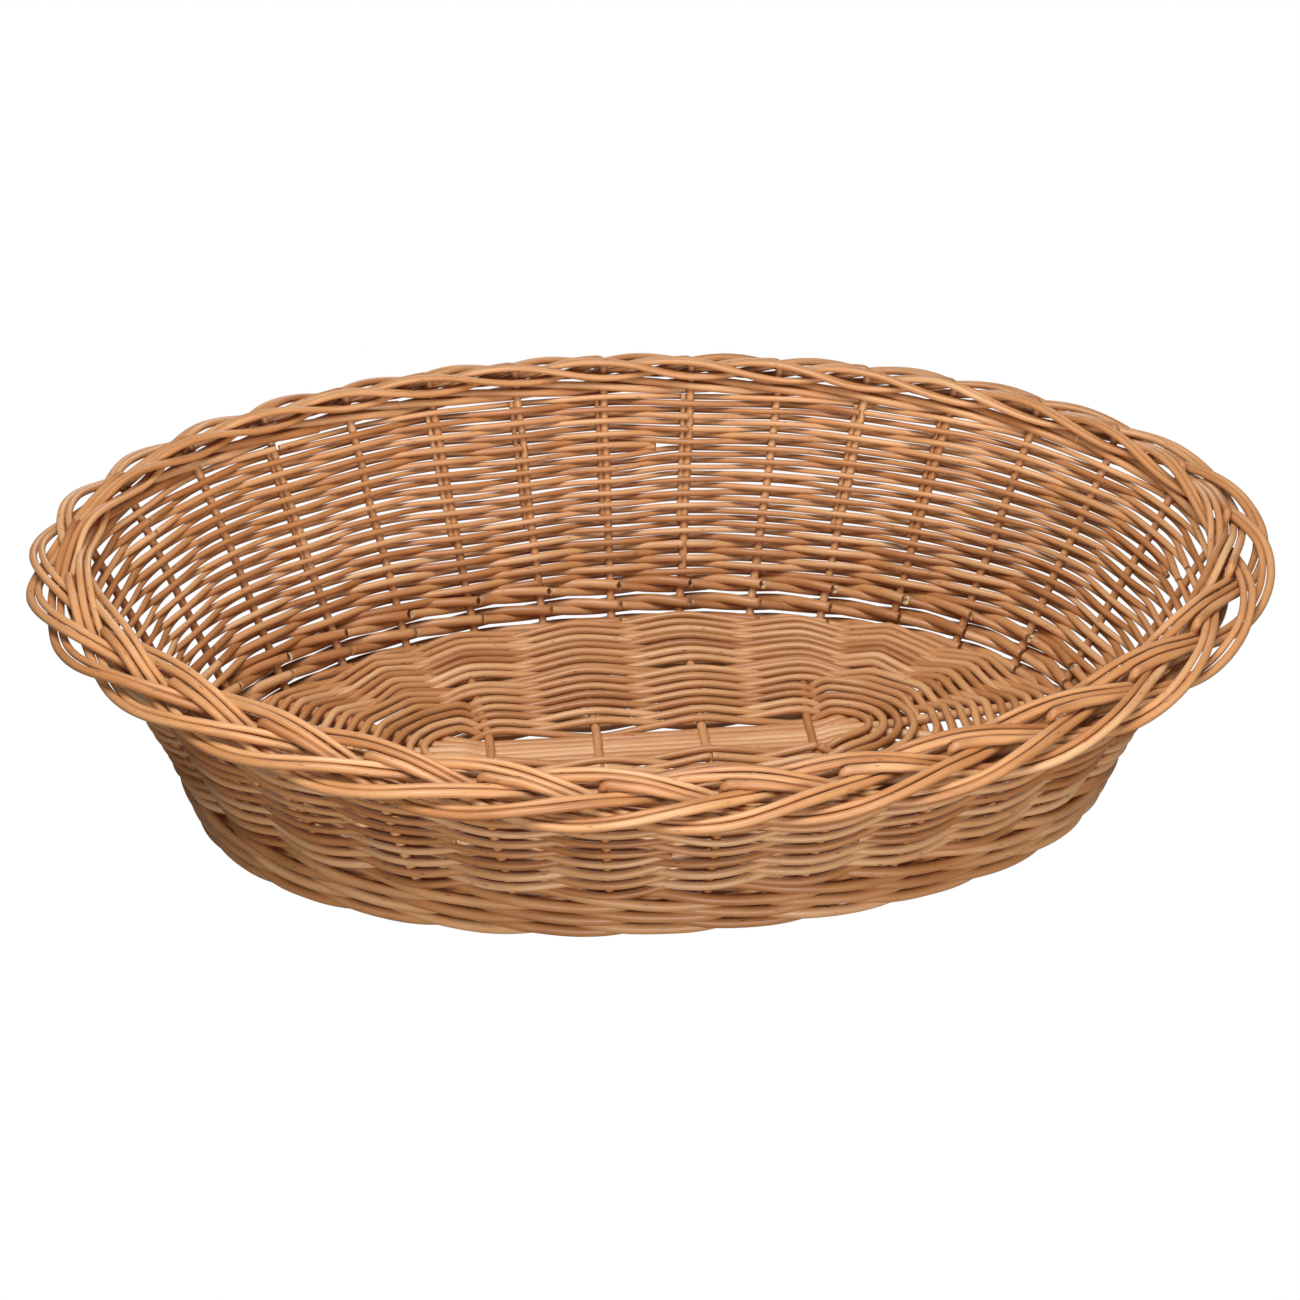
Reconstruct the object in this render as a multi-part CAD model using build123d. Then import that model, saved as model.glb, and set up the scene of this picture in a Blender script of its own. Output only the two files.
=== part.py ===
from build123d import *
import os
import numpy as np

# Oval willow pet bed basket, woven rod by rod: a floor of sticks and woven rods, side stakes
# with a woven wall between them, waled bands at the foot and under the rim, and a five-strand
# plaited border that the tops of the side stakes form themselves.
# Millimetres, +Z up. The origin is on the ground under the middle of the border's outline. +X is
# the long axis, +Y points at the high back and -Y at the low front.

# Driving dimensions
STAKE_COUNT = 30            # upright stakes, and strokes of the plaited border
FOOT_HALF_LENGTH = 250.0    # oval where the stakes turn up, on their centre lines
FOOT_HALF_WIDTH = 173.0
FOOT_SQUARENESS = 2.15      # exponent of the oval, 2 is a plain ellipse
RIM_HALF_LENGTH = 331.0     # middle of the plaited border
RIM_HALF_WIDTH = 230.0
RIM_SQUARENESS = 1.92
RIM_SHIFT = np.array([5.0, 5.0, 0.0])  # from the floor to rim middle, as the wall leans unevenly
ORIGIN = np.array([5.6, 5.0, 0.0])  # of the basket, from the middle of the floor
RIM_HEIGHT = 136.5          # mean height of the middle of the border
BACK_RISE = 26.0            # the back is this much higher than the mean, the front lower
END_RISE = 6.0              # the two ends stand a little higher than back and front together
LEFT_RISE = 8.0             # the left end is higher than the right one
BACK_CROWDING = 0.06        # stakes stand closer together at the back than at the front
FIRST_STAKE = np.radians(92.0)  # place of stake 0, at the middle of the back

STAKE_DIAMETER = 4.4
STICK_DIAMETER = 5.2
WEAVER_DIAMETER = 3.5       # lower wall and floor
FINE_WEAVER_DIAMETER = 3.0  # packing rows and upper wall
WALE_DIAMETER = 4.2
BYE_STAKE_DIAMETER = 3.0
BYE_STAKES = (-4, -3, -1, 0, 1, 2, 4)   # stakes of the back that have a second rod beside them
BYE_STAKE_START = 0.45      # share of the wall's height at which such a rod begins
CLEARANCE = 0.15            # between the surfaces of rods that press on each other
ROW_PITCH = 3.9             # between neighbouring rods of the lower wall
FINE_ROW_PITCH = 3.63       # between neighbouring rods above it
BEND_ALLOWANCE = 0.38       # a bent rod cuts its corners by this much at most

LEG_LENGTH = 34.0           # of a stake lying under the edge of the floor
GROUND_FLAT = 0.25          # depth worn flat under each stake leg, where the basket stands
STAKE_BEND = 6.0            # bend radius of a stake, on its centre line
WEAVER_BEND = 7.0
FLOOR_BEND = 5.0
FOOT_WALE_HEIGHTS = (9.4, 19.2, 29.0)  # along the wall, of the three foot wale rounds
WALE_TO_RAND = 8.2          # from the middle of a wale to the nearest rod of the plain weave
WALE_LEAN = 1.6             # the outer rods of a foot wale sit lower than the inner ones
BUTT_OVERHANG = 0.17        # of a foot wale rod past its first stake, in stake numbers
TOP_WALE_DROP = 4.0         # of the top wale below the end of the wall
LOWER_ROWS = 6              # full rounds below the packing
UPPER_ROWS = 8              # full rounds above the packing
PACKING_FADE = 1.4          # stakes over which the other rows close up past a packing row's end

PLAIT_HALF_SPREAD = 14.3    # sideways travel of a strand from the middle of the border
PLAIT_HALF_LIFT = 5.9       # up and down travel of a strand
PLAIT_STRANDS = 5           # strokes that a strand takes to come back to the same place
PLAIT_START = np.radians(304.0)  # place in the stroke where a stake joins the plait
PLAIT_STROKES = 10.6        # strokes that a stake runs on for in the border
STROKE_LENGTH = 60.0        # of the border, between neighbouring stakes
PLAIT_ROD_PITCH = 4.95      # between rods that lie side by side in one strand
PLAIT_TILT = np.radians(16.0)    # the border slopes down to the outside
WALL_TOP_OFFSET = -5.2      # the stakes come up on the inner side of the border
WALL_TOP_DROP = 9.5         # of the end of the wall below the middle of the border
KNUCKLE_LIFT = 5.9          # where a stake turns over into the border

FLOOR_EDGE_HEIGHT = 12.4    # middle plane of the floor at its edge
FLOOR_DOME = 5.0            # rise of the floor to its middle
FLOOR_EDGE_INSET = 5.3      # from the foot oval to the outermost floor rod
FLOOR_ROUNDS = 28
ROUNDS_PER_BAND = 4         # floor rounds kept together as one sub-part
BUNDLE_ROUNDS = 8           # first rounds, woven round all the stick ends as one bundle
PAIR_ROUNDS = 6             # next rounds, woven round the stick ends in pairs
SLATH_HALF_LENGTH = 120.0   # of the bundle of long sticks, before they fan out
SLATH_HALF_WIDTH = 19.0     # to the first woven rod beside the bundle
CORNER_BULGE = 3.3          # of the first rounds, past the corners of the bundle
LONG_STICK_COUNT = 6
LONG_STICK_PITCH = 5.4
CROSS_STICKS = (-93.0, -31.0, 31.0, 93.0)   # places of the cross sticks along the bundle
FAN_ANGLES = (50.0, 30.0, 10.0, -10.0, -30.0, -50.0)  # of the fanned stick ends, degrees


# --- round rods ---

def rod(points, diameter, bend):
    """A round rod along straight runs between the points, bent at each with one radius."""
    points = [tuple(float(c) for c in np.array(p) - ORIGIN) for p in points]
    path = Line(*points) if len(points) == 2 else FilletPolyline(*points, radius=bend)
    profile = Plane(origin=path @ 0, z_dir=path % 0) * Circle(diameter / 2)
    return sweep(profile, path=path)


def write(name, rods):
    """Write one sub-part, as one solid or a group of separate solids."""
    solids = [solid for r in rods for solid in r.solids()]
    shape = solids[0] if len(solids) == 1 else Compound(children=solids)
    shape.label = name
    export_step(shape, f"parts/{name}.step")
    print(name, len(solids))


def unit(vectors):
    return vectors / np.linalg.norm(vectors, axis=-1, keepdims=True)


# --- the wall as a ruled surface between the foot oval and the rim oval ---

def oval(angle, half_length, half_width, squareness):
    c, s = np.cos(angle), np.sin(angle)
    k = (np.abs(c) ** squareness + np.abs(s) ** squareness) ** (-1 / squareness)
    return np.stack([k * half_length * c, k * half_width * s, 0 * c], axis=-1)


def foot_line(angle):
    line = oval(angle, FOOT_HALF_LENGTH, FOOT_HALF_WIDTH, FOOT_SQUARENESS)
    line[..., 2] = STAKE_DIAMETER / 2 - GROUND_FLAT
    return line


def rim_line(angle):
    line = oval(angle, RIM_HALF_LENGTH, RIM_HALF_WIDTH, RIM_SQUARENESS)
    line += RIM_SHIFT
    line[..., 2] = (RIM_HEIGHT + BACK_RISE * np.sin(angle) + END_RISE * np.cos(2 * angle)
                    - LEFT_RISE * np.cos(angle))
    return line


def stake_angles():
    """Angle round the oval against the stake number, which need not be whole."""
    angle = FIRST_STAKE + np.linspace(0, 2 * np.pi, 7201)
    middle = (foot_line(angle) + 2 * rim_line(angle)) / 3
    step = np.linalg.norm(np.diff(middle[:, :2], axis=0), axis=1)
    step *= 1 + BACK_CROWDING * np.sin((angle[1:] + angle[:-1]) / 2)
    number = np.concatenate([[0], np.cumsum(step)])
    return number / number[-1] * STAKE_COUNT, angle


NUMBER_TABLE, ANGLE_TABLE = stake_angles()


def angle_at(number):
    turns = np.floor(number / STAKE_COUNT)
    rest = number - turns * STAKE_COUNT
    return np.interp(rest, NUMBER_TABLE, ANGLE_TABLE) + 2 * np.pi * turns


def rim_frame(number):
    """Middle of the border with its along, outward and upward directions."""
    nudge = 0.01
    centre = rim_line(angle_at(number))
    along = unit(rim_line(angle_at(number + nudge)) - rim_line(angle_at(number - nudge)))
    level = unit(np.cross(along, [0, 0, 1]))
    up = unit(np.cross(level, along))
    outward = level * np.cos(PLAIT_TILT) - up * np.sin(PLAIT_TILT)
    return centre, along, outward, unit(np.cross(outward, along))


def border_point(number, sideways, lift):
    centre, along, outward, up = rim_frame(number)
    return centre + outward * sideways[..., None] + up * lift[..., None]


def wall_frame(number):
    """Foot point of the wall with its up, outward and along directions and its height."""
    nudge = 0.01
    number = np.asarray(number, float)
    foot = foot_line(angle_at(number))
    flat = np.ones(number.shape)
    top = border_point(number, WALL_TOP_OFFSET * flat, -WALL_TOP_DROP * flat)
    rise = unit(top - foot)
    along = unit(foot_line(angle_at(number + nudge)) - foot_line(angle_at(number - nudge)))
    out = unit(np.cross(along, rise))
    return foot, rise, out, np.linalg.norm(top - foot, axis=-1)


def wall_point(number, height, out_distance):
    foot, rise, out, _ = wall_frame(number)
    height = np.broadcast_to(height, np.shape(number))
    out_distance = np.broadcast_to(out_distance, np.shape(number))
    return foot + rise * height[..., None] + out * out_distance[..., None]


def wall_height(number):
    return wall_frame(number)[3]


# --- side stakes, which turn over into the plaited border ---

def strand_line(start, strokes):
    """Line of the rod that starts at this stake, counted in strokes from its start."""
    turn = 2 * np.pi * strokes / PLAIT_STRANDS + PLAIT_START
    age = strokes / PLAIT_STRANDS
    offset = PLAIT_ROD_PITCH * (1 - age)
    slope = PLAIT_HALF_SPREAD * np.cos(turn) * 2 * np.pi / PLAIT_STRANDS / STROKE_LENGTH
    lean = np.arctan(slope)
    sideways = PLAIT_HALF_SPREAD * np.sin(turn) + offset * np.cos(lean)
    number = start + strokes - offset * np.sin(lean) / STROKE_LENGTH
    return number, sideways, -PLAIT_HALF_LIFT * np.sin(2 * turn)


def stake_points(index):
    number = np.array([float(index)])
    foot, rise, out, height = wall_frame(number)
    inward = -unit(out * [1, 1, 0])
    side = np.array([WALL_TOP_OFFSET])
    wall = [foot + inward * LEG_LENGTH, foot, foot + rise * height,
            border_point(number, side, side * 0 + KNUCKLE_LIFT)]
    strokes = np.arange(1 / 3, PLAIT_STROKES, 1 / 3)
    return np.concatenate([*wall, border_point(*strand_line(index, strokes))])


def side_stakes():
    stakes = []
    ground = Pos(0, 0, -10) * Box(2.5 * RIM_HALF_LENGTH, 2.5 * RIM_HALF_WIDTH, 20)
    for index in range(STAKE_COUNT):
        stakes.append(rod(stake_points(index), STAKE_DIAMETER, STAKE_BEND) - ground)
    return stakes


def bye_stakes():
    """Short second rods that stand beside the stakes of the high back, held by the weave."""
    rods = []
    beside = (STAKE_DIAMETER + BYE_STAKE_DIAMETER) / 2 + CLEARANCE
    for index in BYE_STAKES:
        height = float(wall_height(float(index)))
        spacing = np.linalg.norm(wall_point(index + 1.0, height / 2, 0)
                                 - wall_point(float(index), height / 2, 0))
        number = np.full(2, index + beside / spacing)
        heights = np.array([BYE_STAKE_START * height, height - TOP_WALE_DROP - WALE_DIAMETER - 1.5])
        rods.append(rod(wall_point(number, heights, 0.0), BYE_STAKE_DIAMETER, WEAVER_BEND))
    return rods


# --- weaving between the stakes ---

def rand_rod(first, last, height_at, side, diameter):
    """A rod of the plain weave, outside one stake and inside the next."""
    whole = np.arange(np.ceil(first), np.floor(last) + 1)
    number = np.concatenate([[first], whole, [last]])
    reach = (STAKE_DIAMETER + diameter) / 2 + CLEARANCE + BEND_ALLOWANCE
    out = side * reach * np.cos(np.pi * np.round(number))
    return rod(wall_point(number, height_at(number), out), diameter, WEAVER_BEND)


def wale_rod(number, height_at, turn, lean):
    """A rod of the three-rod wale, outside two stakes and inside the third."""
    reach = (STAKE_DIAMETER + WALE_DIAMETER) / 2 + CLEARANCE + BEND_ALLOWANCE
    phase = 2 * np.pi * (number + turn - 0.5) / 3
    out = reach * (1 / 3 + 4 / 3 * np.cos(phase))
    half_step = (WALE_DIAMETER / 2 + CLEARANCE + BEND_ALLOWANCE / 2) / np.sin(np.pi / 3)
    height = height_at(number) - half_step * np.sin(phase) - lean * np.cos(phase)
    return rod(wall_point(number, height, out), WALE_DIAMETER, WEAVER_BEND)


def top_wale(height_at, first):
    """Three rods, each once round the basket, started at three neighbouring stakes."""
    rods = []
    for turn in range(3):
        number = np.arange(first + turn + 0.5, first + turn + STAKE_COUNT + 0.01, 0.5)
        rods.append(wale_rod(number, height_at, turn, 0.0))
    return rods


def foot_wale(height):
    """Short rods, one begun inside every stake, each ending where the next but two begins."""
    rods = []
    for index in range(STAKE_COUNT):
        number = np.concatenate([[-BUTT_OVERHANG], np.arange(0, 2.51, 0.5), [2.75]]) + index
        rods.append(wale_rod(number, lambda n: height + 0 * n, (2 - index) % 3, WALE_LEAN))
    return rods


def presence(row, number):
    """1 where a row of the wall is woven, falling to 0 past the ends of a short packing row."""
    pair = (row - LOWER_ROWS) // 2
    if row < LOWER_ROWS or pair >= len(PACKING_SPANS):
        return 1.0 + 0 * number
    first, last = PACKING_SPANS[pair]
    centred = (number + STAKE_COUNT / 2) % STAKE_COUNT - STAKE_COUNT / 2
    outside = np.clip(np.maximum(first - centred, centred - last) / PACKING_FADE, 0, 1)
    return 1 - outside ** 2 * (3 - 2 * outside)


def rand_edges(number):
    """Heights between which all the rows of plain weave lie."""
    bottom = FOOT_WALE_HEIGHTS[-1] + WALE_TO_RAND - ROW_PITCH / 2
    top = wall_height(number) - TOP_WALE_DROP - WALE_TO_RAND + FINE_ROW_PITCH / 2
    return bottom, top


def packing_spans():
    """First and last stake of every pair of packing rows, as long as the wall is high enough."""
    number = np.arange(-STAKE_COUNT / 2, STAKE_COUNT / 2 + 0.01, 0.1)
    bottom, top = rand_edges(number)
    room = top - bottom - LOWER_ROWS * ROW_PITCH - UPPER_ROWS * FINE_ROW_PITCH
    spans = []
    while np.any(room >= 2 * (len(spans) + 1) * FINE_ROW_PITCH):
        fits = number[room >= 2 * (len(spans) + 1) * FINE_ROW_PITCH]
        spans.append((np.ceil(fits[0]), np.floor(fits[-1])))
    return spans


PACKING_SPANS = packing_spans()
ROW_COUNT = LOWER_ROWS + 2 * len(PACKING_SPANS) + UPPER_ROWS


def row_height(row):
    """Height of a row of the plain weave, counted from the lowest; the rows share all the room."""
    def height(number):
        share = []
        for k in range(ROW_COUNT):
            pitch = ROW_PITCH if k < LOWER_ROWS else FINE_ROW_PITCH
            share.append(pitch * presence(k, number))
        bottom, top = rand_edges(number)
        below = sum(share[:row]) + share[row] / 2
        return bottom + (top - bottom) * below / sum(share)
    return height


def round_of_rand(height_at, row, diameter):
    """One full round, as two rods whose ends meet behind a stake."""
    side = 1 if row % 2 == 0 else -1
    first = (row * 7) % STAKE_COUNT
    half = STAKE_COUNT // 2
    rods = []
    for start in (first, first + half):
        rods.append(rand_rod(start + 0.06, start + half - 0.06, height_at, side, diameter))
    return rods


# --- the floor ---

def floor_height(ring):
    """Middle plane of the floor: ring is 0 at the first woven rod and 1 at the last."""
    return FLOOR_EDGE_HEIGHT + FLOOR_DOME * (1 - np.clip(ring, 0, 1) ** 2)


def floor_edge(angle):
    return oval(angle, FOOT_HALF_LENGTH - FLOOR_EDGE_INSET, FOOT_HALF_WIDTH - FLOOR_EDGE_INSET,
                FOOT_SQUARENESS)


def stick_ends():
    """Inner and outer ends of every stick that the floor is woven on, counter-clockwise."""
    ends = []
    for x in sorted(CROSS_STICKS):
        angle = np.arcsin(np.clip(1.12 * x / (FOOT_HALF_LENGTH - FLOOR_EDGE_INSET), -1, 1))
        ends.append(((x, -SLATH_HALF_WIDTH), floor_edge(-np.pi / 2 + angle)[:2]))
    for tilt in reversed(FAN_ANGLES):
        y = SLATH_HALF_WIDTH * 0.85 * np.sin(np.radians(tilt))
        x = SLATH_HALF_LENGTH + SLATH_HALF_WIDTH * np.cos(np.radians(tilt))
        ends.append(((x, y), floor_edge(np.radians(tilt))[:2]))
    mirrored = [((-a[0], -a[1]), (-b[0], -b[1])) for a, b in ends]
    return [(np.array(a), np.array(b)) for a, b in ends + mirrored]


STICK_ENDS = stick_ends()


def floor_sides(row):
    """1 or -1 for each stick end, as the round runs over it or under it."""
    cross = len(CROSS_STICKS)
    fan = len(FAN_ANGLES)
    if row < BUNDLE_ROUNDS:
        group = fan
    elif row < BUNDLE_ROUNDS + PAIR_ROUNDS:
        group = 2
    else:
        group = 1
    sides = []
    side = 1 if row % 2 == 0 else -1
    for step in range(len(STICK_ENDS)):
        sides.append(side)
        place = step % (cross + fan)
        if place < cross or (place - cross + 1) % group == 0:
            side = -side
    return sides


def corner_knot(stick, bar, bulge):
    """Where a round turns past a corner of the bundle, between a cross stick and the fan."""
    x = np.sign(stick[0]) * (SLATH_HALF_LENGTH - 2)
    part = (x - bar[0]) / (stick[0] - bar[0])
    knot = bar + (stick - bar) * part
    knot[1] += np.sign(knot[1]) * bulge
    if bulge == CORNER_BULGE:
        knot[2] = stick[2]
    return knot


def with_corners(knots, bulge):
    """Add the four places where a round turns past the corners of the bundle."""
    cross = len(CROSS_STICKS)
    fan = len(FAN_ANGLES)
    full = []
    for step, knot in enumerate(knots):
        place = step % (cross + fan)
        if place == cross:
            full.append(corner_knot(knot, knots[step - 1], bulge))
        full.append(knot)
        if place == cross + fan - 1:
            full.append(corner_knot(knot, knots[(step + 1) % len(knots)], bulge))
    return full


def floor_round(row):
    """One rod woven once round the floor, over and under the sticks in turn."""
    ring = row / (FLOOR_ROUNDS - 1)
    reach = (STICK_DIAMETER + WEAVER_DIAMETER) / 2 + CLEARANCE + BEND_ALLOWANCE
    sides = floor_sides(row)
    knots = []
    for (inner, outer), side in zip(STICK_ENDS, sides):
        knots.append(np.array([*(inner + (outer - inner) * ring), floor_height(ring) + side * reach]))
    bulge = CORNER_BULGE * min(1.0, 2 - row / BUNDLE_ROUNDS)
    if bulge > 0:
        knots = with_corners(knots, bulge)
    first = (row * 3) % len(CROSS_STICKS)
    knots = knots[first:] + knots[:first]
    level = np.array([1, 1, 0])
    start = knots[0] + unit((knots[1] - knots[0]) * level)
    end = knots[0] - unit((knots[0] - knots[-1]) * level)
    return rod([start, *knots[1:], end], WEAVER_DIAMETER, FLOOR_BEND)


def base_long_sticks():
    """Six long sticks side by side under the cross sticks, whose ends fan out."""
    sticks = []
    half = LONG_STICK_COUNT // 2
    low = floor_height(0.0) - STICK_DIAMETER - CLEARANCE
    for k in range(LONG_STICK_COUNT):
        y = (half - 0.5 - k) * LONG_STICK_PITCH
        inner, outer = STICK_ENDS[len(CROSS_STICKS) + LONG_STICK_COUNT - 1 - k]
        line = [(CROSS_STICKS[-1] + STICK_DIAMETER, y, low), (SLATH_HALF_LENGTH, y, floor_height(0))]
        line += [(*(inner + (outer - inner) * f), floor_height(f)) for f in (0.05, 0.35, 0.7, 1.0)]
        mirrored = [(-x, y, z) for x, y, z in line]
        sticks.append(rod([*reversed(mirrored), *line], STICK_DIAMETER, FLOOR_BEND))
    return sticks


def base_cross_sticks():
    """Short sticks that lie over the bundle and reach the front and back of the floor."""
    sticks = []
    count = len(CROSS_STICKS)
    for k in range(count):
        front_inner, front_outer = STICK_ENDS[k]
        back_inner, back_outer = STICK_ENDS[len(STICK_ENDS) // 2 + count - 1 - k]
        line = []
        for inner, outer in ((front_inner, front_outer), (back_inner, back_outer)):
            arm = [(*(inner + (outer - inner) * f), floor_height(f)) for f in (1.0, 0.7, 0.35, 0)]
            line.append(arm)
        sticks.append(rod([*line[0], *reversed(line[1])], STICK_DIAMETER, FLOOR_BEND))
    return sticks


def packing_rows():
    """Short rows that fill the higher parts of the wall, in pairs of the same length."""
    rows = []
    for pair, (first, last) in enumerate(PACKING_SPANS):
        for k, side in enumerate((1, -1)):
            height_at = row_height(LOWER_ROWS + 2 * pair + k)
            rows.append(rand_rod(first - 0.2, last + 0.2, height_at, side, FINE_WEAVER_DIAMETER))
    return rows


def main():
    os.makedirs("parts", exist_ok=True)
    write("base_long_sticks", base_long_sticks())
    write("base_cross_sticks", base_cross_sticks())
    for group in range(FLOOR_ROUNDS // ROUNDS_PER_BAND):
        first = group * ROUNDS_PER_BAND
        band = [floor_round(first + k) for k in range(ROUNDS_PER_BAND)]
        write(f"base_weave_{group + 1}", band)
    write("side_stakes", side_stakes())
    write("bye_stakes", bye_stakes())
    for k, height in enumerate(FOOT_WALE_HEIGHTS):
        write(f"foot_wale_{k + 1}", foot_wale(height))
    for row in range(LOWER_ROWS):
        write(f"wall_row_{row + 1:02d}", round_of_rand(row_height(row), row, WEAVER_DIAMETER))
    for row, piece in enumerate(packing_rows()):
        write(f"packing_row_{row + 1:02d}", [piece])
    for row in range(UPPER_ROWS):
        height_at = row_height(ROW_COUNT - UPPER_ROWS + row)
        rods = round_of_rand(height_at, row, FINE_WEAVER_DIAMETER)
        write(f"wall_row_{LOWER_ROWS + row + 1:02d}", rods)
    write("top_wale", top_wale(lambda number: wall_height(number) - TOP_WALE_DROP, 2))


main()
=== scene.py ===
import math
import bpy
import numpy as np
from mathutils import Matrix, Vector

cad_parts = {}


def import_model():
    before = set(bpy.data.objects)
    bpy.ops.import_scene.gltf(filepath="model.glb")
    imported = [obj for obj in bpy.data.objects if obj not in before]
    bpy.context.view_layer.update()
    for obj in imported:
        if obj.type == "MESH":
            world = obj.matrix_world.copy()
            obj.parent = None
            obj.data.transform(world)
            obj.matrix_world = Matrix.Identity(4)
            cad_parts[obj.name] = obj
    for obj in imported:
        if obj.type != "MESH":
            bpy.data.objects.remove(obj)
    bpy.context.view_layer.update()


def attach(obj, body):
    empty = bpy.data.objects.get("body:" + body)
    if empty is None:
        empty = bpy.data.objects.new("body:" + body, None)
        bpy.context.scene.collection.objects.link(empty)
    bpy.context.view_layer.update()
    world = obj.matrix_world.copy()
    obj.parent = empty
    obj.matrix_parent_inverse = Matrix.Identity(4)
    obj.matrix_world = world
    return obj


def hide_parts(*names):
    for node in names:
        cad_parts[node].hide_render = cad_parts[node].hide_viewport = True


# Oval willow pet bed basket. Every rod is a smooth tapered mesh with cut ends, along lines made by
# the same formulas as in the CAD. The rods are thicker than in the CAD, and the wales and the plait
# lie closer together, because real rods press on each other. Lengths are millimetres until a mesh
# is made.

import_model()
random = np.random.default_rng(7)

# Sizes. The foot wales' heights, WALE_TO_RAND, TOP_WALE_DROP, PACKING_FADE, PLAIT_HALF_LIFT,
# PLAIT_STROKES and SLATH_HALF_LENGTH differ a little from the CAD; the others are the same.
STAKE_COUNT = 30
FOOT_HALF_LENGTH = 250.0
FOOT_HALF_WIDTH = 173.0
FOOT_SQUARENESS = 2.15
RIM_HALF_LENGTH = 331.0
RIM_HALF_WIDTH = 230.0
RIM_SQUARENESS = 1.92
RIM_SHIFT = np.array([5.0, 5.0, 0.0])
ORIGIN = np.array([5.6, 5.0, 0.0])
RIM_HEIGHT = 136.5
BACK_RISE = 26.0
END_RISE = 6.0
LEFT_RISE = 8.0
BACK_CROWDING = 0.06
FIRST_STAKE = math.radians(92.0)
STAKE_DIAMETER = 4.4
STICK_DIAMETER = 5.2
WEAVER_DIAMETER = 3.5
WALE_DIAMETER = 4.2
ROW_PITCH = 3.9
FINE_ROW_PITCH = 3.63
LEG_LENGTH = 34.0
GROUND_FLAT = 0.25
FOOT_WALE_HEIGHTS = (7.4, 16.4, 26.0)
FOOT_WALE_BACK_LIFT = 4.5         # of the top foot wale, above its height at the front
FOOT_WALE_TWIST = (0.6, 0.95, 1.0)   # rise and fall of its rods, against their thickness
FOOT_WALE_LEAN = (1.0, 0.8, 1.2)    # outer side lower than the middle
FOOT_WALE_OUT = (2.2, 1.2, 0.3)     # moved outwards
FOOT_WALE_THICKNESS = ((6.2, 5.6), (6.4, 5.8), (6.1, 5.5))
WALE_TO_RAND = 6.6
BUTT_OVERHANG = 0.17
TOP_WALE_DROP = 1.6
PACKING_FADE = 1.0
WALL_EDGES = 45.635     # height of the wall taken up by the wales in the CAD
LOWER_ROWS = 6
UPPER_ROWS = 8
PLAIT_HALF_SPREAD = 14.3
PLAIT_HALF_LIFT = 5.2
PLAIT_SKEW = 0.11        # flattens the strands' path along the inner edge
PLAIT_STRANDS = 5
PLAIT_START = math.radians(304.0)
PLAIT_STROKES = 11.05
PLAIT_ROD_PITCH = 4.95
PLAIT_TILT = math.radians(16.0)
STROKE_LENGTH = 60.0
WALL_TOP_OFFSET = -5.2
WALL_TOP_DROP = 9.5
KNUCKLE_LIFT = 5.9
FLOOR_EDGE_HEIGHT = 12.4
FLOOR_DOME = 5.0
FLOOR_EDGE_INSET = 5.3
FLOOR_ROUNDS = 28
ROUNDS_PER_BAND = 4
BUNDLE_ROUNDS = 8
PAIR_ROUNDS = 6
SLATH_HALF_LENGTH = 108.0   # half the length of the closed bundle of long sticks
SLATH_HALF_WIDTH = 19.0
CORNER_BULGE = 3.3
LONG_STICK_COUNT = 6
LONG_STICK_PITCH = 5.4
CROSS_STICKS = (-93.0, -31.0, 31.0, 93.0)
CROSS_STICK_SPREAD = 1.12   # of the short sticks' outer ends, against their middles
FAN_ANGLES = (50.0, 30.0, 10.0, -10.0, -30.0, -50.0)
SHARP_BENDS_FROM = 95.0     # from the middle; further out the floor's rods bend sharply
SHARP_BENDS_OVER = 30.0

# Thickness of the rods at their start and end
STAKE_THICKNESS = (5.3, 3.7)
BYE_STAKE_THICKNESS = (3.6, 3.2)
TOP_WALE_THICKNESS = (5.2, 4.6)
LONG_STICK_THICKNESS = (6.4, 6.0)
CROSS_STICK_THICKNESS = (5.6, 5.0)

# Least and greatest thickness of the rods at their start, where every rod differs
LOWER_ROW_THICKNESS = (4.5, 5.1)
UPPER_ROW_THICKNESS = (3.7, 4.2)
PACKING_ROW_THICKNESS = (3.4, 4.0)
FLOOR_ROD_THICKNESS = (4.6, 5.3)

STEP = 2.0      # between the rings of vertices along a rod
SIDES = 12      # of a rod's cross-section


# --- the basket's lines ---

def unit(vectors):
    return vectors / np.linalg.norm(vectors, axis=-1, keepdims=True)


def oval(angle, half_length, half_width, squareness):
    """A level oval, rounder or squarer than an ellipse."""
    c, s = np.cos(angle), np.sin(angle)
    k = (np.abs(c) ** squareness + np.abs(s) ** squareness) ** (-1 / squareness)
    return np.stack([k * half_length * c, k * half_width * s, 0 * c], axis=-1)


def foot_line(angle):
    """Where the stakes turn up at the edge of the floor."""
    line = oval(angle, FOOT_HALF_LENGTH, FOOT_HALF_WIDTH, FOOT_SQUARENESS)
    line[..., 2] = STAKE_DIAMETER / 2 - GROUND_FLAT
    return line


def rim_line(angle):
    """The middle of the border."""
    line = oval(angle, RIM_HALF_LENGTH, RIM_HALF_WIDTH, RIM_SQUARENESS)
    line += RIM_SHIFT
    line[..., 2] = (RIM_HEIGHT + BACK_RISE * np.sin(angle) + END_RISE * np.cos(2 * angle)
                    - LEFT_RISE * np.cos(angle))
    return line


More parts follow.
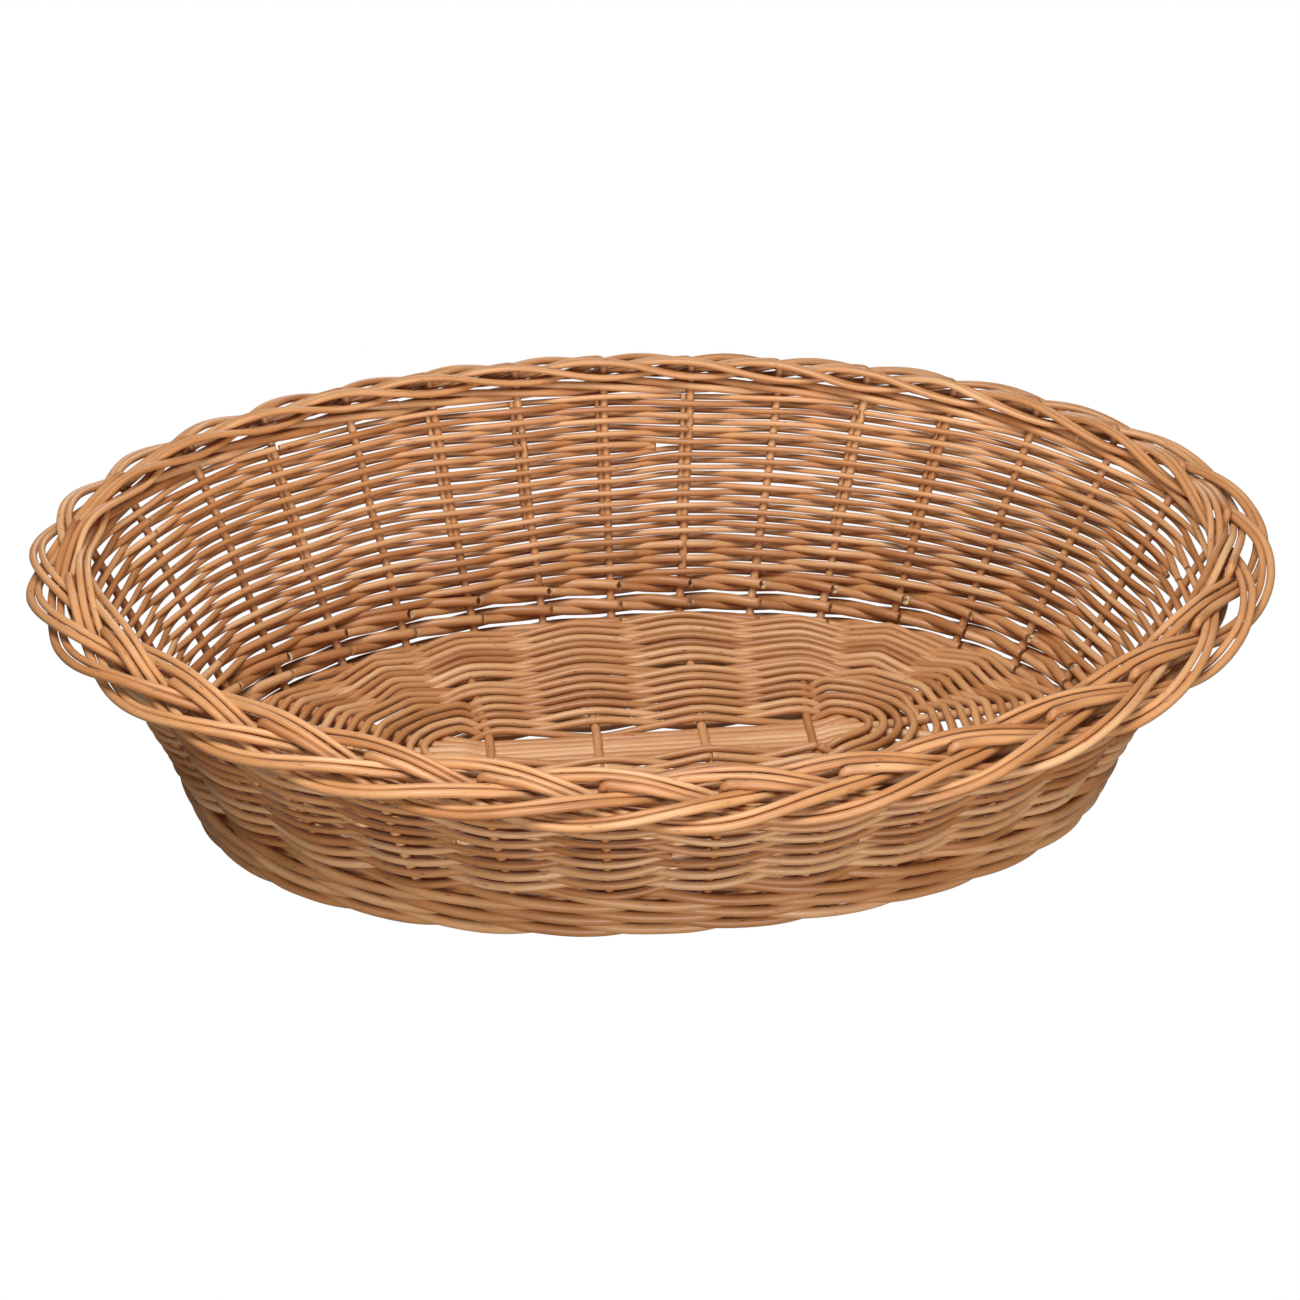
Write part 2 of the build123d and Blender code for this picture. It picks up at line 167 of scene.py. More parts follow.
def stake_angles():
    """Angle of every stake number, with the stakes spread evenly along the wall."""
    angle = FIRST_STAKE + np.linspace(0, 2 * np.pi, 7201)
    middle = (foot_line(angle) + 2 * rim_line(angle)) / 3
    step = np.linalg.norm(np.diff(middle[:, :2], axis=0), axis=1)
    step *= 1 + BACK_CROWDING * np.sin((angle[1:] + angle[:-1]) / 2)
    number = np.concatenate([[0], np.cumsum(step)])
    return number / number[-1] * STAKE_COUNT, angle


NUMBER_TABLE, ANGLE_TABLE = stake_angles()


def angle_at(number):
    turns = np.floor(number / STAKE_COUNT)
    rest = number - turns * STAKE_COUNT
    return np.interp(rest, NUMBER_TABLE, ANGLE_TABLE) + 2 * np.pi * turns


def border_point(number, sideways, lift):
    """A point beside the border's middle, outwards and upwards of it."""
    nudge = 0.05
    centre = rim_line(angle_at(number))
    along = unit(rim_line(angle_at(number + nudge)) - rim_line(angle_at(number - nudge)))
    level = unit(np.cross(along, [0, 0, 1]))
    up = unit(np.cross(level, along))
    outward = level * np.cos(PLAIT_TILT) - up * np.sin(PLAIT_TILT)
    up = unit(np.cross(outward, along))
    return centre + outward * sideways[..., None] + up * lift[..., None]


def wall_frame(number):
    """Foot, upward and outward directions and height of the wall at a stake number."""
    nudge = 0.05
    number = np.asarray(number, float)
    foot = foot_line(angle_at(number))
    flat = np.ones(number.shape)
    top = border_point(number, WALL_TOP_OFFSET * flat, -WALL_TOP_DROP * flat)
    rise = unit(top - foot)
    along = unit(foot_line(angle_at(number + nudge)) - foot_line(angle_at(number - nudge)))
    out = unit(np.cross(along, rise))
    return foot, rise, out, np.linalg.norm(top - foot, axis=-1)


def wall_point(number, height, out_distance):
    """A point of the wall, counted in stakes, up the wall and outwards."""
    foot, rise, out, _ = wall_frame(number)
    height = np.broadcast_to(height, np.shape(number))
    out_distance = np.broadcast_to(out_distance, np.shape(number))
    return foot + rise * height[..., None] + out * out_distance[..., None]


def wall_height(number):
    return wall_frame(number)[3]


# --- natural unevenness ---

def wander(length, spacing, size):
    """A smooth random line of values, one per millimetre of length, about 0."""
    count = max(4, int(length / spacing) + 3)
    values = random.normal(0, size, count)
    place = np.linspace(0, count - 1.001, max(2, int(length)))
    index = place.astype(int)
    t = place - index
    t = t * t * (3 - 2 * t)
    return values[index] * (1 - t) + values[np.minimum(index + 1, count - 1)] * t


WAVES = [(random.uniform(0.1, 0.45), random.uniform(-0.05, 0.05), random.uniform(0, 6.28),
          random.uniform(0.2, 0.5)) for _ in range(7)]


def wall_drift(number, height):
    """Common rise and fall of neighbouring wall rods, in millimetres."""
    total = 0 * number
    for turns, climb, start, size in WAVES:
        total = total + size * np.sin(2 * np.pi * round(turns * 30) / 30 * number
                                      + climb * height + start)
    return total


def smooth_line(points, spread, step=None):
    """The line through the points, evenly divided, with its corners rounded over the spread."""
    step = step or STEP
    points = np.asarray(points, float)
    length = np.concatenate([[0], np.cumsum(np.linalg.norm(np.diff(points, axis=0), axis=1))])
    fine = step / 2
    count = max(4, int(round(length[-1] / fine)))
    place = np.linspace(0, length[-1], count + 1)
    line = np.stack([np.interp(place, length, points[:, k]) for k in range(3)], axis=1)
    if spread > 0:
        pad = int(np.ceil(3 * spread / fine))
        before = line[0] - (line[1] - line[0]) * np.arange(pad, 0, -1)[:, None]
        after = line[-1] + (line[-1] - line[-2]) * np.arange(1, pad + 1)[:, None]
        full = np.concatenate([before, line, after])
        kernel = np.exp(-0.5 * (np.arange(-pad, pad + 1) * fine / spread) ** 2)
        kernel /= kernel.sum()
        line = np.stack([np.convolve(full[:, k], kernel, "valid") for k in range(3)], axis=1)
    return line[::2] if len(line) % 2 else np.concatenate([line[::2], line[-1:]])


# --- rods as meshes ---

class Piece:
    """Rods gathered into one mesh."""

    def __init__(self):
        self.co = []
        self.faces = []
        self.kinds = []
        self.bark = []
        self.tone = []
        self.painted_shade = []
        self.uv = []
        self.strips = []
        self.count = 0

    def rod(self, line, start_diameter, end_diameter, tone=None, painted_shade=None, unevenness=0.18,
            facing=None):
        """Add a tapered rod; its painted-shade values darken it with painted shade, one value or one per
        point of the line. The cut at its start is slanted to show itself in the facing direction."""
        n = len(line)
        length = np.concatenate([[0], np.cumsum(np.linalg.norm(np.diff(line, axis=0), axis=1))])
        if unevenness:
            for k in range(3):
                swing = wander(length[-1] + 2, 28, unevenness)
                line[:, k] += np.interp(length, np.arange(len(swing)), swing)
        tangent = unit(np.gradient(line, axis=0))
        normal = np.cross(tangent[0], [0.13, 0.07, 1.0])
        if np.linalg.norm(normal) < 0.2:
            normal = np.cross(tangent[0], [1.0, 0.2, 0.1])
        normals = [unit(normal)]
        for k in range(1, n):
            moved = normals[-1] - tangent[k] * (normals[-1] @ tangent[k])
            normals.append(moved / np.linalg.norm(moved))
        normals = np.array(normals)
        binormals = np.cross(tangent, normals)
        radius = np.interp(length, [0, length[-1]], [start_diameter / 2, end_diameter / 2])
        swell = wander(length[-1] + 2, 45, 0.03)
        radius = radius * (1 + np.interp(length, np.arange(len(swell)), swell))

        # two extra rings at each end round its edge off
        edge = 0.3
        rings = np.concatenate([line[:1] - tangent[:1] * edge, line, line[-1:] + tangent[-1:] * edge])
        radii = np.concatenate([radius[:1] * 0.86, radius, radius[-1:] * 0.86])
        nn = np.concatenate([normals[:1], normals, normals[-1:]])
        bb = np.concatenate([binormals[:1], binormals, binormals[-1:]])
        along = np.concatenate([[-edge], length, [length[-1] + edge]])
        theta = np.arange(SIDES) * 2 * np.pi / SIDES
        ring = (nn[:, None] * np.cos(theta)[:, None] + bb[:, None] * np.sin(theta)[:, None])
        co = rings[:, None] + ring * radii[:, None, None]
        rows = len(rings)
        slant = np.zeros(SIDES)
        if facing is not None:
            slant = 1.3 * start_diameter / 2 * (ring[0] @ unit(np.asarray(facing, float)))
            slant = slant + abs(slant).max()
            for k in range(3):
                co[k] += tangent[0] * (slant * (1 - k / 4))[:, None]
        offset = random.uniform(0, 50)
        bark = np.stack(np.broadcast_arrays(
            (along[:, None] + offset * 100) / 1000,
            np.cos(theta) * start_diameter / 2000 + offset,
            np.sin(theta) * start_diameter / 2000), axis=-1)
        first = self.count
        i, j = np.meshgrid(np.arange(rows - 1), np.arange(SIDES), indexing="ij")
        nj = (j + 1) % SIDES
        quads = np.stack([i * SIDES + j, i * SIDES + nj, (i + 1) * SIDES + nj, (i + 1) * SIDES + j],
                         axis=-1).reshape(-1, 4) + first
        tone = random.uniform() if tone is None else tone
        painted_shade = np.zeros(n) if painted_shade is None else np.broadcast_to(painted_shade, n)
        painted_shades = np.concatenate([painted_shade[:1], painted_shade, painted_shade[-1:]])
        self.co.append(co.reshape(-1, 3))
        self.bark.append(bark.reshape(-1, 3))
        self.painted_shade.append(np.repeat(painted_shades, SIDES))
        self.tone.append(np.full(rows * SIDES, tone))
        self.faces.append(quads)
        self.kinds.append(np.zeros(len(quads), int))
        self.strips.append((rows - 1, float(length[-1]), math.pi * start_diameter))
        self.count += rows * SIDES

        # the cut ends: a pale ring of wood round a darker pith
        for which, sign in ((0, 1), (rows - 1, -1)):
            base = first + which * SIDES
            rim = co[which]
            middle = rim.mean(axis=0)[None]
            inner = middle + (rim - middle) * 0.3
            start = self.count
            self.co.append(np.concatenate([inner, middle]))
            self.bark.append(np.repeat(bark[which][:1], SIDES + 1, axis=0))
            self.painted_shade.append(np.zeros(SIDES + 1))
            self.tone.append(np.full(SIDES + 1, tone))
            self.count += SIDES + 1
            k = np.arange(SIDES)
            k2 = (k + 1) % SIDES
            annulus = np.stack([base + k2, base + k, start + k, start + k2], axis=-1)
            fan = np.stack([start + k2, start + k, np.full(SIDES, start + SIDES),
                            np.full(SIDES, -1)], axis=-1)
            if sign < 0:
                annulus = annulus[:, ::-1]
                fan = fan[:, [1, 0, 2, 3]]
            self.faces.append(annulus)
            self.kinds.append(np.ones(SIDES, int))
            self.faces.append(fan)
            self.kinds.append(np.full(SIDES, 2))

    def build(self, name, nodes, slot, materials):
        co = (np.concatenate(self.co) - ORIGIN) / 1000
        faces = np.concatenate(self.faces)
        kinds = np.concatenate(self.kinds)
        name = name + "_rods"
        mesh = bpy.data.meshes.new(name)
        loops = faces[faces >= 0]
        sizes = (faces >= 0).sum(axis=1)
        starts = np.concatenate([[0], np.cumsum(sizes)[:-1]])
        mesh.vertices.add(len(co))
        mesh.vertices.foreach_set("co", co.astype(np.float32).ravel())
        mesh.loops.add(len(loops))
        mesh.loops.foreach_set("vertex_index", loops.astype(np.int32))
        mesh.polygons.add(len(faces))
        mesh.polygons.foreach_set("loop_start", starts.astype(np.int32))
        mesh.polygons.foreach_set("material_index", kinds.astype(np.int32))
        mesh.update(calc_edges=True)
        mesh.polygons.foreach_set("use_smooth", kinds == 0)
        values = mesh.attributes.new("bark", "FLOAT_VECTOR", "POINT")
        values.data.foreach_set("vector", np.concatenate(self.bark).astype(np.float32).ravel())
        for key, data in (("tone", self.tone), ("painted_shade", self.painted_shade)):
            values = mesh.attributes.new(key, "FLOAT", "POINT")
            values.data.foreach_set("value", np.concatenate(data).astype(np.float32))
        layer = mesh.uv_layers.new(name="OFBake")
        layer.data.foreach_set("uv", self.strip_uv(sizes).astype(np.float32).ravel())
        for material in materials:
            mesh.materials.append(material)
        piece = bpy.data.objects.new(name, mesh)
        bpy.context.scene.collection.objects.link(piece)
        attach(piece, "root")
        if nodes:
            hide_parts(*nodes)
        return piece

    def strip_uv(self, sizes):
        """Flat layout of the rods' surface: each rod cut into strips that fill a square."""
        area = sum(length * girth for _, length, girth in self.strips)
        total = sum(length for _, length, _ in self.strips)
        strip = math.sqrt(area) * 1.02
        cells = []
        for rows, length, girth in self.strips:
            per = max(1, int(strip / max(length / rows, 1e-6)))
            parts = int(math.ceil(rows / per))
            cells.append((rows, per, parts))
        count = sum(parts for _, _, parts in cells) + 1
        high = 1.0 / count
        uv = []
        row = 0
        for rows, per, parts in cells:
            i = np.repeat(np.arange(rows), SIDES)
            j = np.tile(np.arange(SIDES), rows)
            part = i // per
            u0 = (i - part * per) / per * 0.98 + 0.01
            u1 = (i - part * per + 1) / per * 0.98 + 0.01
            v0 = (row + part + 0.08 + 0.84 * j / SIDES) * high
            v1 = (row + part + 0.08 + 0.84 * (j + 1) / SIDES) * high
            quad = np.stack([np.stack([u0, v0], -1), np.stack([u0, v1], -1),
                             np.stack([u1, v1], -1), np.stack([u1, v0], -1)], axis=1)
            uv.append(quad.reshape(-1, 2))
            row += parts
            # both cut ends share a small cell in the last row
            cell = np.array([[0.2, count - 0.7], [0.2, count - 0.3], [0.4, count - 0.3],
                             [0.4, count - 0.7]]) * [0.05, high]
            for _ in range(2):
                uv.append(np.tile(cell, (SIDES, 1)))
                uv.append(np.tile(cell[:3] + [0.05, 0], (SIDES, 1)))
        return np.concatenate(uv)


# --- the material ---

def srgb(r, g, b):
    """A linear colour from its display values."""
    def linear(c):
        c = c / 255
        return c / 12.92 if c <= 0.04045 else ((c + 0.055) / 1.055) ** 2.4
    return (linear(r), linear(g), linear(b), 1.0)


class Nodes:
    """Short-hand for building a material."""

    def __init__(self, name):
        self.material = bpy.data.materials.new(name)
        self.material.use_nodes = True
        self.tree = self.material.node_tree
        self.tree.nodes.clear()

    def add(self, kind, **settings):
        node = self.tree.nodes.new(kind)
        for key, value in settings.items():
            if key in node.inputs:
                node.inputs[key].default_value = value
            else:
                setattr(node, key, value)
        return node

    def link(self, source, target):
        self.tree.links.new(source, target)

    def maths(self, operation, a, b=None, clamp=False):
        node = self.add("ShaderNodeMath", operation=operation, use_clamp=clamp)
        for k, value in enumerate((a, b)):
            if value is None:
                continue
            if isinstance(value, (int, float)):
                node.inputs[k].default_value = value
            else:
                self.link(value, node.inputs[k])
        return node.outputs[0]

    def mix(self, factor, a, b, blend="MIX"):
        node = self.add("ShaderNodeMix", data_type="RGBA", blend_type=blend)
        for k, value in ((0, factor), (6, a), (7, b)):
            if isinstance(value, (int, float, tuple)):
                node.inputs[k].default_value = value
            else:
                self.link(value, node.inputs[k])
        return node.outputs[2]

    def noise(self, vector, scale, detail=2.0, rough=0.5):
        mapping = self.add("ShaderNodeMapping")
        mapping.inputs["Scale"].default_value = scale
        self.link(vector, mapping.inputs["Vector"])
        node = self.add("ShaderNodeTexNoise")
        node.inputs["Scale"].default_value = 1.0
        node.inputs["Detail"].default_value = detail
        node.inputs["Roughness"].default_value = rough
        self.link(mapping.outputs[0], node.inputs["Vector"])
        return node.outputs[0]

    def ramp(self, factor, stops):
        node = self.add("ShaderNodeValToRGB")
        while len(node.color_ramp.elements) < len(stops):
            node.color_ramp.elements.new(0.5)
        for element, (place, colour) in zip(node.color_ramp.elements, stops):
            element.position = place
            element.color = colour
        self.link(factor, node.inputs[0])
        return node.outputs[0]


def willow(name, dark, mid, light, pale):
    """Buff willow: per-rod tone, long streaks, blotches and small dark knots."""
    m = Nodes(name)
    bark = m.add("ShaderNodeAttribute", attribute_name="bark").outputs["Vector"]
    tone = m.add("ShaderNodeAttribute", attribute_name="tone").outputs["Fac"]
    painted_shade = m.add("ShaderNodeAttribute", attribute_name="painted_shade").outputs["Fac"]
    blotch = m.noise(bark, (28.0, 160.0, 160.0), 3.0, 0.55)
    streak = m.noise(bark, (14.0, 1500.0, 1500.0), 2.0, 0.6)
    fibre = m.noise(bark, (90.0, 4200.0, 4200.0), 2.0, 0.6)

    place = m.maths("ADD", m.maths("MULTIPLY", tone, 0.62),
                    m.maths("MULTIPLY", m.maths("SUBTRACT", blotch, 0.5), 0.75))
    place = m.maths("ADD", place, m.maths("MULTIPLY", m.maths("SUBTRACT", streak, 0.5), 0.35))
    place = m.maths("ADD", place, 0.19, clamp=True)
    colour = m.ramp(place, [(0.0, dark), (0.35, mid), (0.72, light), (1.0, pale)])

    # fine lengthwise fibres
    lines = m.ramp(fibre, [(0.30, (0.80, 0.76, 0.72, 1)), (0.52, (1, 1, 1, 1))])
    colour = m.mix(0.55, colour, lines, "MULTIPLY")

    # small dark knots and flecks
    mapping = m.add("ShaderNodeMapping")
    mapping.inputs["Scale"].default_value = (85.0, 330.0, 330.0)
    m.link(bark, mapping.inputs["Vector"])
    cells = m.add("ShaderNodeTexVoronoi")
    cells.inputs["Scale"].default_value = 1.0
    m.link(mapping.outputs[0], cells.inputs["Vector"])
    rare = m.maths("GREATER_THAN", cells.outputs["Color"], 0.52)
    spot = m.ramp(cells.outputs["Distance"], [(0.06, (1, 1, 1, 1)), (0.17, (0, 0, 0, 1))])
    fleck = m.noise(bark, (500.0, 1500.0, 1500.0), 1.0, 0.5)
    flecks = m.ramp(fleck, [(0.70, (0, 0, 0, 1)), (0.78, (1, 1, 1, 1))])
    spots = m.maths("MULTIPLY", m.maths("MULTIPLY", rare, spot), 0.75)
    spots = m.maths("MAXIMUM", spots, m.maths("MULTIPLY", flecks, 0.45))
    colour = m.mix(spots, colour, srgb(84, 47, 24))

    # painted shade: where each stake bends under the border it is painted darker and redder
    colour = m.mix(m.maths("MULTIPLY", painted_shade, 0.75), colour, srgb(142, 82, 40))

    shader = m.add("ShaderNodeBsdfPrincipled")
    m.link(colour, shader.inputs["Base Color"])
    rough = m.maths("ADD", m.maths("MULTIPLY", blotch, 0.25), 0.26)
    m.link(rough, shader.inputs["Roughness"])
    shader.inputs["Specular IOR Level"].default_value = 0.45
    height = m.maths("ADD", m.maths("MULTIPLY", fibre, 0.5), m.maths("MULTIPLY", streak, 0.6))
    bump = m.add("ShaderNodeBump")
    bump.inputs["Strength"].default_value = 0.35
    bump.inputs["Distance"].default_value = 0.0002
    m.link(height, bump.inputs["Height"])
    m.link(bump.outputs[0], shader.inputs["Normal"])
    out = m.add("ShaderNodeOutputMaterial")
    m.link(shader.outputs[0], out.inputs[0])
    return m.material


def plain(name, colour, roughness):
    """A material of one colour."""
    m = Nodes(name)
    shader = m.add("ShaderNodeBsdfPrincipled", Roughness=roughness)
    shader.inputs["Base Color"].default_value = colour
    out = m.add("ShaderNodeOutputMaterial")
    m.link(shader.outputs[0], out.inputs[0])
    return m.material


WILLOW = willow("willow", srgb(158, 98, 52), srgb(190, 130, 80), srgb(212, 157, 106), srgb(228, 184, 138))
CUT_WOOD = plain("cut_wood", srgb(232, 212, 176), 0.7)
OLD_CUT_WOOD = plain("old_cut_wood", srgb(190, 143, 96), 0.7)
PITH = plain("pith", srgb(164, 126, 82), 0.8)
MATERIALS = (WILLOW, OLD_CUT_WOOD, PITH)
BUTT_MATERIALS = (WILLOW, CUT_WOOD, PITH)


# --- side stakes and the border they are plaited into ---

def strand_line(start, strokes):
    """Path of a stake's top through the five-strand plait."""
    turn = 2 * np.pi * strokes / PLAIT_STRANDS + PLAIT_START
    offset = PLAIT_ROD_PITCH * (1 - strokes / PLAIT_STRANDS)
    slope = PLAIT_HALF_SPREAD * (np.cos(turn) + 2 * PLAIT_SKEW * np.sin(2 * turn))
    lean = np.arctan(slope * 2 * np.pi / PLAIT_STRANDS / STROKE_LENGTH)
    sideways = PLAIT_HALF_SPREAD * (np.sin(turn) - PLAIT_SKEW * np.cos(2 * turn))
    sideways = sideways + offset * np.cos(lean)
    number = start + strokes - offset * np.sin(lean) / STROKE_LENGTH
    return number, sideways, -PLAIT_HALF_LIFT * np.sin(2 * turn)


def stakes():
    """Legs under the floor, straight sides and the strands of the border, in three meshes."""
    groups = [Piece(), Piece(), Piece()]
    for index in range(STAKE_COUNT):
        number = np.array([float(index)])
        foot, rise, out, height = wall_frame(number)
        inward = -unit(out * [1, 1, 0])
        side = np.array([WALL_TOP_OFFSET])
        lower = np.concatenate([foot + inward * LEG_LENGTH, foot, foot + rise * height,
                                border_point(number, side, side * 0 + KNUCKLE_LIFT)])
        strokes = np.arange(1 / 3, PLAIT_STROKES, 0.05)
        strand = border_point(*strand_line(index, strokes))
        corner = np.linalg.norm(np.diff(lower, axis=0), axis=1).sum()
        line = smooth_line(np.concatenate([lower, strand]), 2.6)
        length = np.linspace(0, 1, len(line)) * (corner + np.linalg.norm(
            np.diff(strand, axis=0), axis=1).sum())
        # painted shade, darker at the bend where the stake turns under the border
        painted_shade = 0.55 * np.exp(-((length - corner) / 9) ** 2)
        tone = random.uniform(0.1, 0.95)
        groups[index * 3 // STAKE_COUNT].rod(line, *STAKE_THICKNESS, tone, painted_shade, 0.3)
    names = ("side_stakes_a", "side_stakes_b", "side_stakes_c")
    for k, (name, group) in enumerate(zip(names, groups)):
        group.build(name, ["side_stakes"] if k == 0 else [], "stakes", MATERIALS)


def bye_stakes():
    """Thin second rods beside some of the stakes at the back."""
    piece = Piece()
    beside = (STAKE_DIAMETER + 3.0) / 2 + 0.15
    for index in (-4, -3, -1, 0, 1, 2, 4):
        height = float(wall_height(float(index)))
        spacing = np.linalg.norm(wall_point(index + 1.0, height / 2, 0)
                                 - wall_point(float(index), height / 2, 0))
        number = np.full(2, index + beside / spacing)
        heights = np.array([0.45 * height, height - TOP_WALE_DROP - WALE_DIAMETER - 1.5])
        piece.rod(smooth_line(wall_point(number, heights, 0.0), 0), *BYE_STAKE_THICKNESS)
    piece.build("bye_stakes", ["bye_stakes"], "stakes", MATERIALS)


# --- the woven wall ---

def rand_line(first, last, height_at, side, diameter):
    """A rod in front of one stake and behind the next."""
    number = np.arange(first, last + 0.001, 0.05)
    reach = (STAKE_DIAMETER + diameter) / 2 + 0.35
    height = height_at(number)
    height = height + wall_drift(number, height)
    out = side * reach * np.cos(np.pi * number)
    return smooth_line(wall_point(number, height, out), 1.5)


def wale_line(first, last, height_at, turn, diameter, lean=0.0, twist=1.0, out_shift=0.0):
    number = np.arange(first, last + 0.001, 0.05)
    reach = (STAKE_DIAMETER + diameter) / 2 + 0.3
    phase = 2 * np.pi * (number + turn - 0.5) / 3
    out = out_shift + reach * (1 / 3 + 1.12 * np.cos(phase) - 0.22 * np.cos(2 * phase))
    half_step = twist * (WALE_DIAMETER / 2 + 0.3) / np.sin(np.pi / 3)
    height = height_at(number) - half_step * np.sin(phase) - lean * np.cos(phase)
    return smooth_line(wall_point(number, height, out), 1.5)


def foot_wale_height(row, number):
    """Height of a foot wale; the upper ones climb a little towards the back."""
    back = (1 + np.cos(2 * np.pi * number / STAKE_COUNT)) / 2
    return FOOT_WALE_HEIGHTS[row] + FOOT_WALE_BACK_LIFT * back * row / 2


def foot_wale(row):
    """Short rods, one beside every stake; those of the top round show their butts inside."""
    top = row == len(FOOT_WALE_HEIGHTS) - 1
    start, end = FOOT_WALE_THICKNESS[row]
    piece = Piece()
    for index in range(STAKE_COUNT):
        turn = (2 - index) % 3
        first = index - BUTT_OVERHANG - random.uniform(0, 0.06) if top else index - 0.1
        line = wale_line(first, index + 2.85, lambda n: foot_wale_height(row, n), turn, 4.6,
                         FOOT_WALE_LEAN[row], FOOT_WALE_TWIST[row], FOOT_WALE_OUT[row])
        inward = -line[0, :2] / np.linalg.norm(line[0, :2])
        piece.rod(line, start, end, facing=(*inward, 0.5) if top else None)
    name = f"foot_wale_{row + 1}"
    piece.build(name, [name], "wale_rods", BUTT_MATERIALS if top else MATERIALS)


def top_wale():
    """Three rods under the border, each made of three lengths."""
    piece = Piece()
    for turn in range(3):
        start = 2 + turn
        for part in range(3):
            first = start + part * 10 + 0.5
            line = wale_line(first - 0.1, first + 9.9, lambda n: wall_height(n) - TOP_WALE_DROP,
                             turn, WALE_DIAMETER)
            piece.rod(line, *TOP_WALE_THICKNESS)
    piece.build("top_wale", ["top_wale"], "wale_rods", MATERIALS)


def presence(row, number):
    """How far a row takes up room there: 1 within a packing row, 0 beyond its ends."""
    pair = (row - LOWER_ROWS) // 2
    if row < LOWER_ROWS or pair >= len(PACKING_SPANS):
        return 1.0 + 0 * number
    first, last = PACKING_SPANS[pair]
    centred = (number + STAKE_COUNT / 2) % STAKE_COUNT - STAKE_COUNT / 2
    outside = np.clip(np.maximum(first - centred, centred - last) / PACKING_FADE, 0, 1)
    return 1 - outside ** 2 * (3 - 2 * outside)


def rand_edges(number):
    """Heights between which the plain weave lies."""
    bottom = foot_wale_height(2, number) + WALE_TO_RAND - ROW_PITCH / 2
    top = wall_height(number) - TOP_WALE_DROP - WALE_TO_RAND + FINE_ROW_PITCH / 2
    return bottom, top


def packing_spans():
    """First and last stake of every pair of packing rows."""
    number = np.arange(-STAKE_COUNT / 2, STAKE_COUNT / 2 + 0.01, 0.1)
    room = wall_height(number) - WALL_EDGES - LOWER_ROWS * ROW_PITCH - UPPER_ROWS * FINE_ROW_PITCH
    spans = []
    while np.any(room >= 2 * (len(spans) + 1) * FINE_ROW_PITCH):
        fits = number[room >= 2 * (len(spans) + 1) * FINE_ROW_PITCH]
        spans.append((np.ceil(fits[0]), np.floor(fits[-1])))
    return spans


PACKING_SPANS = packing_spans()
ROW_COUNT = LOWER_ROWS + 2 * len(PACKING_SPANS) + UPPER_ROWS


def row_height(row):
    """Height of a row, as all the rows there share the room."""
    def height(number):
        share = []
        for k in range(ROW_COUNT):
            pitch = ROW_PITCH if k < LOWER_ROWS else FINE_ROW_PITCH
            share.append(pitch * presence(k, number))
        bottom, top = rand_edges(number)
        below = sum(share[:row]) + share[row] / 2
        return bottom + (top - bottom) * below / sum(share)
    return height


def wall_rows():
    """Full rounds of two rods that meet inside the basket, and the packing rows."""
    for row in range(LOWER_ROWS + UPPER_ROWS):
        lower = row < LOWER_ROWS
        place = row if lower else row - LOWER_ROWS
        height_at = row_height(row if lower else ROW_COUNT - UPPER_ROWS + place)
        side = 1 if place % 2 == 0 else -1
        first = (place * 7) % STAKE_COUNT
        piece = Piece()
        middle = first + STAKE_COUNT // 2
        for start, end in ((first + 1, middle), (middle, first + 1 + STAKE_COUNT)):
            thick = random.uniform(*(LOWER_ROW_THICKNESS if lower else UPPER_ROW_THICKNESS))
            line = rand_line(start + 0.012, end - 0.012, height_at, side,
                             WEAVER_DIAMETER if lower else 3.0)
            piece.rod(line, thick, thick - 0.4)
        name = f"wall_row_{row + 1:02d}"
        piece.build(name, [name], "wall_weave", MATERIALS)
    for pair, (first, last) in enumerate(PACKING_SPANS):
        for k, side in enumerate((1, -1)):
            row = 2 * pair + k
            piece = Piece()
            thick = random.uniform(*PACKING_ROW_THICKNESS)
            height_at = row_height(LOWER_ROWS + row)
            piece.rod(rand_line(first - 0.6, last + 0.6, height_at, side, 3.0), thick, thick - 0.3)
            name = f"packing_row_{row + 1:02d}"
            piece.build(name, [name], "wall_weave", MATERIALS)


# --- the floor ---

def floor_height(ring):
    return FLOOR_EDGE_HEIGHT + FLOOR_DOME * (1 - np.clip(ring, 0, 1) ** 2)


def floor_edge(angle):
    return oval(angle, FOOT_HALF_LENGTH - FLOOR_EDGE_INSET, FOOT_HALF_WIDTH - FLOOR_EDGE_INSET,
                FOOT_SQUARENESS)


def stick_ends():
    """Inner and outer end of every stick of the floor, in the order that the rods pass them."""
    ends = []
    for x in sorted(CROSS_STICKS):
        angle = np.arcsin(np.clip(CROSS_STICK_SPREAD * x / (FOOT_HALF_LENGTH - FLOOR_EDGE_INSET), -1, 1))
        ends.append(((x, -SLATH_HALF_WIDTH), floor_edge(-np.pi / 2 + angle)[:2]))
    for tilt in reversed(FAN_ANGLES):
        y = SLATH_HALF_WIDTH * 0.85 * np.sin(np.radians(tilt))
        x = SLATH_HALF_LENGTH + SLATH_HALF_WIDTH * np.cos(np.radians(tilt))
        ends.append(((x, y), floor_edge(np.radians(tilt))[:2]))
    mirrored = [((-a[0], -a[1]), (-b[0], -b[1])) for a, b in ends]
    return [(np.array(a), np.array(b)) for a, b in ends + mirrored]


STICK_ENDS = stick_ends()


def floor_sides(row):
    """Over (1) or under (-1) every stick; early rounds take the fanned sticks together."""
    cross = len(CROSS_STICKS)
    fan = len(FAN_ANGLES)
    group = fan if row < BUNDLE_ROUNDS else 2 if row < BUNDLE_ROUNDS + PAIR_ROUNDS else 1
    sides = []
    side = 1 if row % 2 == 0 else -1
    for step in range(len(STICK_ENDS)):
        sides.append(side)
        place = step % (cross + fan)
        if place < cross or (place - cross + 1) % group == 0:
            side = -side
    return sides


